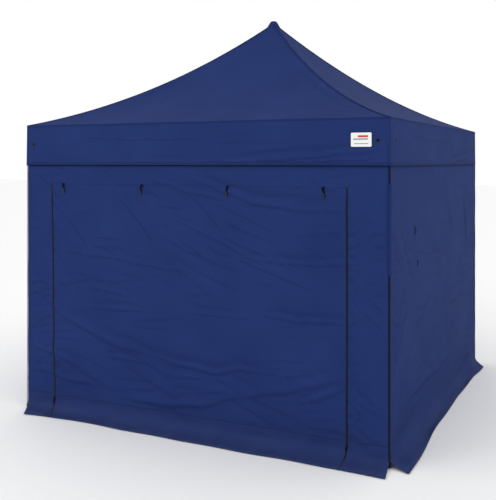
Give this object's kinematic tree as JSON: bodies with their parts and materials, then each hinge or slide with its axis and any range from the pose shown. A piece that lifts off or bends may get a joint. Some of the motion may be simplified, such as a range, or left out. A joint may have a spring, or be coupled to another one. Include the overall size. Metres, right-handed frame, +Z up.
{
  "type": "pop up canopy",
  "caption": "Square folding canopy: scissor frame on four telescopic legs, concave pyramid roof with valance, four walls with floor skirts and a zipped front door.",
  "frame": {"origin": "on the ground under the centre of the square roof, at foot-plate level", "axes": "+Z up, -Y out of the front wall that holds the door, +X to the right of somebody facing that wall from outside"},
  "size_m": [3.392, 3.392, 3.2291],
  "materials": {
    "roof_cloth": "coated navy polyester, fine weave, slight sheen",
    "wall_cloth": "coated navy polyester, fine weave, matt",
    "alloy": "satin anodised",
    "steel": "galvanised",
    "moulding": "black glass-filled nylon",
    "black_trim": "black zips, webbing and eyelets",
    "label": "white woven label without lettering"
  },
  "bodies": {
    "top_hub": {"top_hub": "moulding"},
    "front_arm_falling_bar": {"front_arm_falling_bar": "alloy"},
    "front_arm_rising_bar": {"front_arm_rising_bar": "alloy"},
    "front_upper_connector": {"front_upper_connector": "moulding", "wall_front": "wall_cloth"},
    "front_lower_connector": {"front_lower_connector": "moulding"},
    "centre_pole": {"bottom_hub": "moulding", "king_pole": "alloy"},
    "right_arm_falling_bar": {"right_arm_falling_bar": "alloy"},
    "right_arm_rising_bar": {"right_arm_rising_bar": "alloy"},
    "right_upper_connector": {"right_upper_connector": "moulding", "wall_right": "wall_cloth"},
    "right_lower_connector": {"right_lower_connector": "moulding"},
    "back_arm_falling_bar": {"back_arm_falling_bar": "alloy"},
    "back_arm_rising_bar": {"back_arm_rising_bar": "alloy"},
    "back_upper_connector": {"back_upper_connector": "moulding", "wall_back": "wall_cloth"},
    "back_lower_connector": {"back_lower_connector": "moulding"},
    "left_arm_falling_bar": {"left_arm_falling_bar": "alloy"},
    "left_arm_rising_bar": {"left_arm_rising_bar": "alloy"},
    "left_upper_connector": {"left_upper_connector": "moulding", "wall_left": "wall_cloth"},
    "left_lower_connector": {"left_lower_connector": "moulding"},
    "front_truss_left_falling_bar": {"front_truss_left_falling_bar": "alloy"},
    "front_truss_left_rising_bar": {"front_truss_left_rising_bar": "alloy"},
    "front_left_outer_leg": {"front_left_outer_leg": "alloy"},
    "front_left_slider": {"front_left_slider": "moulding"},
    "front_left_inner_leg": {"front_left_inner_leg": "steel"},
    "front_left_pull_pin": {"front_left_pull_pin": "steel"},
    "front_truss_right_falling_bar": {"front_truss_right_falling_bar": "alloy"},
    "front_truss_right_rising_bar": {"front_truss_right_rising_bar": "alloy"},
    "front_right_outer_leg": {"front_right_outer_leg": "alloy"},
    "front_right_slider": {"front_right_slider": "moulding"},
    "front_right_inner_leg": {"front_right_inner_leg": "steel"},
    "front_right_pull_pin": {"front_right_pull_pin": "steel"},
    "right_truss_left_falling_bar": {"right_truss_left_falling_bar": "alloy"},
    "right_truss_left_rising_bar": {"right_truss_left_rising_bar": "alloy"},
    "right_truss_right_falling_bar": {"right_truss_right_falling_bar": "alloy"},
    "right_truss_right_rising_bar": {"right_truss_right_rising_bar": "alloy"},
    "back_truss_left_falling_bar": {"back_truss_left_falling_bar": "alloy"},
    "back_truss_left_rising_bar": {"back_truss_left_rising_bar": "alloy"},
    "back_right_outer_leg": {"back_right_outer_leg": "alloy"},
    "back_right_slider": {"back_right_slider": "moulding"},
    "back_right_inner_leg": {"back_right_inner_leg": "steel"},
    "back_right_pull_pin": {"back_right_pull_pin": "steel"},
    "back_truss_right_falling_bar": {"back_truss_right_falling_bar": "alloy"},
    "back_truss_right_rising_bar": {"back_truss_right_rising_bar": "alloy"},
    "back_left_outer_leg": {"back_left_outer_leg": "alloy"},
    "back_left_slider": {"back_left_slider": "moulding"},
    "back_left_inner_leg": {"back_left_inner_leg": "steel"},
    "back_left_pull_pin": {"back_left_pull_pin": "steel"},
    "left_truss_left_falling_bar": {"left_truss_left_falling_bar": "alloy"},
    "left_truss_left_rising_bar": {"left_truss_left_rising_bar": "alloy"},
    "left_truss_right_falling_bar": {"left_truss_right_falling_bar": "alloy"},
    "left_truss_right_rising_bar": {"left_truss_right_rising_bar": "alloy"},
    "roof_front": {"roof_panel_front": "roof_cloth"},
    "roof_right": {"roof_panel_right": "roof_cloth"},
    "roof_back": {"roof_panel_back": "roof_cloth"},
    "roof_left": {"roof_panel_left": "roof_cloth"},
    "door": {"door_panel": "wall_cloth"}
  },
  "joints": [
    {"name": "frame_fold", "type": "hinge", "parent": "top_hub", "child": "front_arm_falling_bar", "pos_m": [0, -0.045, 2.2], "axis": [1, 0, 0], "range_deg": [0, 66.45], "deforming": ["roof_panel_front", "roof_panel_right", "roof_panel_back", "roof_panel_left", "wall_front", "wall_right", "wall_back", "wall_left", "door_panel"]},
    {"name": "front_arm_cross", "type": "hinge", "parent": "front_arm_falling_bar", "child": "front_arm_rising_bar", "pos_m": [0, -0.7255, 1.94557], "axis": [1, 0, 0], "range_deg": [-133.2, 0]},
    {"name": "front_upper_connector_pivot", "type": "hinge", "parent": "front_arm_rising_bar", "child": "front_upper_connector", "pos_m": [0, -1.406, 2.2], "axis": [1, 0, 0], "range_deg": [0, 66.75]},
    {"name": "front_lower_connector_pivot", "type": "hinge", "parent": "front_arm_falling_bar", "child": "front_lower_connector", "pos_m": [0, -1.406, 1.69114], "axis": [1, 0, 0], "range_deg": [-66.75, 0]},
    {"name": "bottom_hub_pivot", "type": "hinge", "parent": "front_arm_rising_bar", "child": "centre_pole", "pos_m": [0, -0.045, 1.69114], "axis": [1, 0, 0], "range_deg": [0, 66.75]},
    {"name": "right_arm_fold", "type": "hinge", "parent": "top_hub", "child": "right_arm_falling_bar", "pos_m": [0.045, 0, 2.2], "axis": [0, 1, 0], "range_deg": [0, 66.75]},
    {"name": "right_arm_cross", "type": "hinge", "parent": "right_arm_falling_bar", "child": "right_arm_rising_bar", "pos_m": [0.7255, 0, 1.94557], "axis": [0, 1, 0], "range_deg": [-133.2, 0]},
    {"name": "right_upper_connector_pivot", "type": "hinge", "parent": "right_arm_rising_bar", "child": "right_upper_connector", "pos_m": [1.406, 0, 2.2], "axis": [0, 1, 0], "range_deg": [0, 66.75]},
    {"name": "right_lower_connector_pivot", "type": "hinge", "parent": "right_arm_falling_bar", "child": "right_lower_connector", "pos_m": [1.406, 0, 1.69114], "axis": [0, 1, 0], "range_deg": [-66.75, 0]},
    {"name": "back_arm_fold", "type": "hinge", "parent": "top_hub", "child": "back_arm_falling_bar", "pos_m": [0, 0.045, 2.2], "axis": [-1, 0, 0], "range_deg": [0, 66.75]},
    {"name": "back_arm_cross", "type": "hinge", "parent": "back_arm_falling_bar", "child": "back_arm_rising_bar", "pos_m": [0, 0.7255, 1.94557], "axis": [-1, 0, 0], "range_deg": [-133.2, 0]},
    {"name": "back_upper_connector_pivot", "type": "hinge", "parent": "back_arm_rising_bar", "child": "back_upper_connector", "pos_m": [0, 1.406, 2.2], "axis": [-1, 0, 0], "range_deg": [0, 66.75]},
    {"name": "back_lower_connector_pivot", "type": "hinge", "parent": "back_arm_falling_bar", "child": "back_lower_connector", "pos_m": [0, 1.406, 1.69114], "axis": [-1, 0, 0], "range_deg": [-66.75, 0]},
    {"name": "left_arm_fold", "type": "hinge", "parent": "top_hub", "child": "left_arm_falling_bar", "pos_m": [-0.045, 0, 2.2], "axis": [0, -1, 0], "range_deg": [0, 66.75]},
    {"name": "left_arm_cross", "type": "hinge", "parent": "left_arm_falling_bar", "child": "left_arm_rising_bar", "pos_m": [-0.7255, 0, 1.94557], "axis": [0, -1, 0], "range_deg": [-133.2, 0]},
    {"name": "left_upper_connector_pivot", "type": "hinge", "parent": "left_arm_rising_bar", "child": "left_upper_connector", "pos_m": [-1.406, 0, 2.2], "axis": [0, -1, 0], "range_deg": [0, 66.75]},
    {"name": "left_lower_connector_pivot", "type": "hinge", "parent": "left_arm_falling_bar", "child": "left_lower_connector", "pos_m": [-1.406, 0, 1.69114], "axis": [0, -1, 0], "range_deg": [-66.75, 0]},
    {"name": "front_truss_left_fold", "type": "hinge", "parent": "front_upper_connector", "child": "front_truss_left_falling_bar", "pos_m": [-0.045, -1.451, 2.2], "axis": [0, -1, 0], "range_deg": [0, 66.75]},
    {"name": "front_truss_left_cross", "type": "hinge", "parent": "front_truss_left_falling_bar", "child": "front_truss_left_rising_bar", "pos_m": [-0.7255, -1.451, 1.94557], "axis": [0, -1, 0], "range_deg": [-133.2, 0]},
    {"name": "front_left_leg_pivot", "type": "hinge", "parent": "front_truss_left_rising_bar", "child": "front_left_outer_leg", "pos_m": [-1.406, -1.451, 2.2], "axis": [0, -1, 0], "range_deg": [0, 66.75]},
    {"name": "front_left_slider_pivot", "type": "hinge", "parent": "front_truss_left_falling_bar", "child": "front_left_slider", "pos_m": [-1.406, -1.451, 1.69114], "axis": [0, -1, 0], "range_deg": [-66.75, 0]},
    {"name": "front_left_leg_height", "type": "slide", "parent": "front_left_outer_leg", "child": "front_left_inner_leg", "axis": [0, 0, 1], "range_m": [0, 0.649]},
    {"name": "front_left_pin_pull", "type": "slide", "parent": "front_left_slider", "child": "front_left_pull_pin", "axis": [1, 0, 0], "range_m": [0, 0.007], "stiffness_N_per_m": 600, "springref_m": -0.004},
    {"name": "front_truss_right_fold", "type": "hinge", "parent": "front_upper_connector", "child": "front_truss_right_falling_bar", "pos_m": [0.045, -1.451, 2.2], "axis": [0, 1, 0], "range_deg": [0, 66.75]},
    {"name": "front_truss_right_cross", "type": "hinge", "parent": "front_truss_right_falling_bar", "child": "front_truss_right_rising_bar", "pos_m": [0.7255, -1.451, 1.94557], "axis": [0, 1, 0], "range_deg": [-133.2, 0]},
    {"name": "front_right_leg_pivot", "type": "hinge", "parent": "front_truss_right_rising_bar", "child": "front_right_outer_leg", "pos_m": [1.406, -1.451, 2.2], "axis": [0, 1, 0], "range_deg": [0, 66.75]},
    {"name": "front_right_slider_pivot", "type": "hinge", "parent": "front_truss_right_falling_bar", "child": "front_right_slider", "pos_m": [1.406, -1.451, 1.69114], "axis": [0, 1, 0], "range_deg": [-66.75, 0]},
    {"name": "front_right_leg_height", "type": "slide", "parent": "front_right_outer_leg", "child": "front_right_inner_leg", "axis": [0, 0, 1], "range_m": [0, 0.649]},
    {"name": "front_right_pin_pull", "type": "slide", "parent": "front_right_slider", "child": "front_right_pull_pin", "axis": [0, 1, 0], "range_m": [0, 0.007], "stiffness_N_per_m": 600, "springref_m": -0.004},
    {"name": "right_truss_left_fold", "type": "hinge", "parent": "right_upper_connector", "child": "right_truss_left_falling_bar", "pos_m": [1.451, -0.045, 2.2], "axis": [1, 0, 0], "range_deg": [0, 66.75]},
    {"name": "right_truss_left_cross", "type": "hinge", "parent": "right_truss_left_falling_bar", "child": "right_truss_left_rising_bar", "pos_m": [1.451, -0.7255, 1.94557], "axis": [1, 0, 0], "range_deg": [-133.2, 0]},
    {"name": "right_truss_right_fold", "type": "hinge", "parent": "right_upper_connector", "child": "right_truss_right_falling_bar", "pos_m": [1.451, 0.045, 2.2], "axis": [-1, 0, 0], "range_deg": [0, 66.75]},
    {"name": "right_truss_right_cross", "type": "hinge", "parent": "right_truss_right_falling_bar", "child": "right_truss_right_rising_bar", "pos_m": [1.451, 0.7255, 1.94557], "axis": [-1, 0, 0], "range_deg": [-133.2, 0]},
    {"name": "back_truss_left_fold", "type": "hinge", "parent": "back_upper_connector", "child": "back_truss_left_falling_bar", "pos_m": [0.045, 1.451, 2.2], "axis": [0, 1, 0], "range_deg": [0, 66.75]},
    {"name": "back_truss_left_cross", "type": "hinge", "parent": "back_truss_left_falling_bar", "child": "back_truss_left_rising_bar", "pos_m": [0.7255, 1.451, 1.94557], "axis": [0, 1, 0], "range_deg": [-133.2, 0]},
    {"name": "back_right_leg_pivot", "type": "hinge", "parent": "back_truss_left_rising_bar", "child": "back_right_outer_leg", "pos_m": [1.406, 1.451, 2.2], "axis": [0, 1, 0], "range_deg": [0, 66.75]},
    {"name": "back_right_slider_pivot", "type": "hinge", "parent": "back_truss_left_falling_bar", "child": "back_right_slider", "pos_m": [1.406, 1.451, 1.69114], "axis": [0, 1, 0], "range_deg": [-66.75, 0]},
    {"name": "back_right_leg_height", "type": "slide", "parent": "back_right_outer_leg", "child": "back_right_inner_leg", "axis": [0, 0, 1], "range_m": [0, 0.649]},
    {"name": "back_right_pin_pull", "type": "slide", "parent": "back_right_slider", "child": "back_right_pull_pin", "axis": [-1, 0, 0], "range_m": [0, 0.007], "stiffness_N_per_m": 600, "springref_m": -0.004},
    {"name": "back_truss_right_fold", "type": "hinge", "parent": "back_upper_connector", "child": "back_truss_right_falling_bar", "pos_m": [-0.045, 1.451, 2.2], "axis": [0, -1, 0], "range_deg": [0, 66.75]},
    {"name": "back_truss_right_cross", "type": "hinge", "parent": "back_truss_right_falling_bar", "child": "back_truss_right_rising_bar", "pos_m": [-0.7255, 1.451, 1.94557], "axis": [0, -1, 0], "range_deg": [-133.2, 0]},
    {"name": "back_left_leg_pivot", "type": "hinge", "parent": "back_truss_right_rising_bar", "child": "back_left_outer_leg", "pos_m": [-1.406, 1.451, 2.2], "axis": [0, -1, 0], "range_deg": [0, 66.75]},
    {"name": "back_left_slider_pivot", "type": "hinge", "parent": "back_truss_right_falling_bar", "child": "back_left_slider", "pos_m": [-1.406, 1.451, 1.69114], "axis": [0, -1, 0], "range_deg": [-66.75, 0]},
    {"name": "back_left_leg_height", "type": "slide", "parent": "back_left_outer_leg", "child": "back_left_inner_leg", "axis": [0, 0, 1], "range_m": [0, 0.649]},
    {"name": "back_left_pin_pull", "type": "slide", "parent": "back_left_slider", "child": "back_left_pull_pin", "axis": [0, -1, 0], "range_m": [0, 0.007], "stiffness_N_per_m": 600, "springref_m": -0.004},
    {"name": "left_truss_left_fold", "type": "hinge", "parent": "left_upper_connector", "child": "left_truss_left_falling_bar", "pos_m": [-1.451, 0.045, 2.2], "axis": [-1, 0, 0], "range_deg": [0, 66.75]},
    {"name": "left_truss_left_cross", "type": "hinge", "parent": "left_truss_left_falling_bar", "child": "left_truss_left_rising_bar", "pos_m": [-1.451, 0.7255, 1.94557], "axis": [-1, 0, 0], "range_deg": [-133.2, 0]},
    {"name": "left_truss_right_fold", "type": "hinge", "parent": "left_upper_connector", "child": "left_truss_right_falling_bar", "pos_m": [-1.451, -0.045, 2.2], "axis": [1, 0, 0], "range_deg": [0, 66.75]},
    {"name": "left_truss_right_cross", "type": "hinge", "parent": "left_truss_right_falling_bar", "child": "left_truss_right_rising_bar", "pos_m": [-1.451, -0.7255, 1.94557], "axis": [1, 0, 0], "range_deg": [-133.2, 0]},
    {"name": "roof_front_fold", "type": "hinge", "parent": "centre_pole", "child": "roof_front", "pos_m": [0, -0.407, 3.06], "axis": [1, 0, 0], "range_deg": [0, 54.12]},
    {"name": "roof_right_fold", "type": "hinge", "parent": "centre_pole", "child": "roof_right", "pos_m": [0.407, 0, 3.06], "axis": [0, 1, 0], "range_deg": [0, 54.12]},
    {"name": "roof_back_fold", "type": "hinge", "parent": "centre_pole", "child": "roof_back", "pos_m": [0, 0.407, 3.06], "axis": [-1, 0, 0], "range_deg": [0, 54.12]},
    {"name": "roof_left_fold", "type": "hinge", "parent": "centre_pole", "child": "roof_left", "pos_m": [-0.407, 0, 3.06], "axis": [0, -1, 0], "range_deg": [0, 54.12]},
    {"name": "door_lift", "type": "hinge", "parent": "front_upper_connector", "child": "door", "pos_m": [0, -1.4945, 1.8], "axis": [-1, 0, 0], "range_deg": [0, 95]}
  ],
  "couplings": [
    {"joint": "front_arm_cross", "follows": "frame_fold", "ratio": -2},
    {"joint": "front_upper_connector_pivot", "follows": "frame_fold", "ratio": 1},
    {"joint": "front_lower_connector_pivot", "follows": "frame_fold", "ratio": -1},
    {"joint": "bottom_hub_pivot", "follows": "frame_fold", "ratio": 1},
    {"joint": "right_arm_fold", "follows": "frame_fold", "ratio": 1},
    {"joint": "right_arm_cross", "follows": "frame_fold", "ratio": -2},
    {"joint": "right_upper_connector_pivot", "follows": "frame_fold", "ratio": 1},
    {"joint": "right_lower_connector_pivot", "follows": "frame_fold", "ratio": -1},
    {"joint": "back_arm_fold", "follows": "frame_fold", "ratio": 1},
    {"joint": "back_arm_cross", "follows": "frame_fold", "ratio": -2},
    {"joint": "back_upper_connector_pivot", "follows": "frame_fold", "ratio": 1},
    {"joint": "back_lower_connector_pivot", "follows": "frame_fold", "ratio": -1},
    {"joint": "left_arm_fold", "follows": "frame_fold", "ratio": 1},
    {"joint": "left_arm_cross", "follows": "frame_fold", "ratio": -2},
    {"joint": "left_upper_connector_pivot", "follows": "frame_fold", "ratio": 1},
    {"joint": "left_lower_connector_pivot", "follows": "frame_fold", "ratio": -1},
    {"joint": "front_truss_left_fold", "follows": "frame_fold", "ratio": 1},
    {"joint": "front_truss_left_cross", "follows": "frame_fold", "ratio": -2},
    {"joint": "front_left_leg_pivot", "follows": "frame_fold", "ratio": 1},
    {"joint": "front_left_slider_pivot", "follows": "frame_fold", "ratio": -1},
    {"joint": "front_truss_right_fold", "follows": "frame_fold", "ratio": 1},
    {"joint": "front_truss_right_cross", "follows": "frame_fold", "ratio": -2},
    {"joint": "front_right_leg_pivot", "follows": "frame_fold", "ratio": 1},
    {"joint": "front_right_slider_pivot", "follows": "frame_fold", "ratio": -1},
    {"joint": "right_truss_left_fold", "follows": "frame_fold", "ratio": 1},
    {"joint": "right_truss_left_cross", "follows": "frame_fold", "ratio": -2},
    {"joint": "right_truss_right_fold", "follows": "frame_fold", "ratio": 1},
    {"joint": "right_truss_right_cross", "follows": "frame_fold", "ratio": -2},
    {"joint": "back_truss_left_fold", "follows": "frame_fold", "ratio": 1},
    {"joint": "back_truss_left_cross", "follows": "frame_fold", "ratio": -2},
    {"joint": "back_right_leg_pivot", "follows": "frame_fold", "ratio": 1},
    {"joint": "back_right_slider_pivot", "follows": "frame_fold", "ratio": -1},
    {"joint": "back_truss_right_fold", "follows": "frame_fold", "ratio": 1},
    {"joint": "back_truss_right_cross", "follows": "frame_fold", "ratio": -2},
    {"joint": "back_left_leg_pivot", "follows": "frame_fold", "ratio": 1},
    {"joint": "back_left_slider_pivot", "follows": "frame_fold", "ratio": -1},
    {"joint": "left_truss_left_fold", "follows": "frame_fold", "ratio": 1},
    {"joint": "left_truss_left_cross", "follows": "frame_fold", "ratio": -2},
    {"joint": "left_truss_right_fold", "follows": "frame_fold", "ratio": 1},
    {"joint": "left_truss_right_cross", "follows": "frame_fold", "ratio": -2},
    {"joint": "roof_front_fold", "follows": "frame_fold", "ratio": 0.81},
    {"joint": "roof_right_fold", "follows": "frame_fold", "ratio": 0.81},
    {"joint": "roof_back_fold", "follows": "frame_fold", "ratio": 0.81},
    {"joint": "roof_left_fold", "follows": "frame_fold", "ratio": 0.81}
  ]
}
